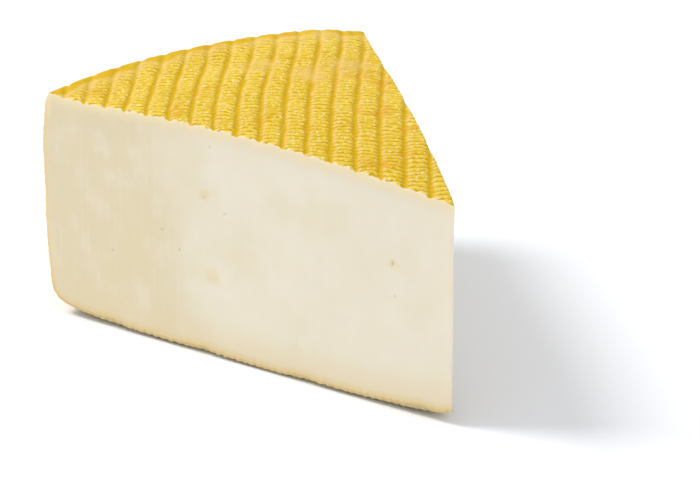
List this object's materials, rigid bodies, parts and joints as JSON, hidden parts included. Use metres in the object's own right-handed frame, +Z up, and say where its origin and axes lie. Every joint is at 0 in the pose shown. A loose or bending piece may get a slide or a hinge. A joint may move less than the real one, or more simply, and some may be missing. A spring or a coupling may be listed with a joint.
{
  "type": "cheese wedge",
  "caption": "Wedge cut from a low round cheese wheel, from rim to centre: straight pale cut faces under a golden rind ribbed and marked by cloth.",
  "frame": {"origin": "on the surface the wedge rests on, under the middle of its bounding box", "axes": "+Z up, -Y towards the tip that was the wheel's centre, +Y towards the curved rind side"},
  "size_m": [0.1072, 0.14, 0.0687],
  "materials": {
    "rind": "waxy golden cheese rind with a satin shine, pressed into ribs and a cloth weave",
    "paste": "moist cream cut cheese, smooth with faint knife streaks and a few pinholes"
  },
  "bodies": {
    "root": {"cheese_wedge": "rind"}
  },
  "joints": []
}
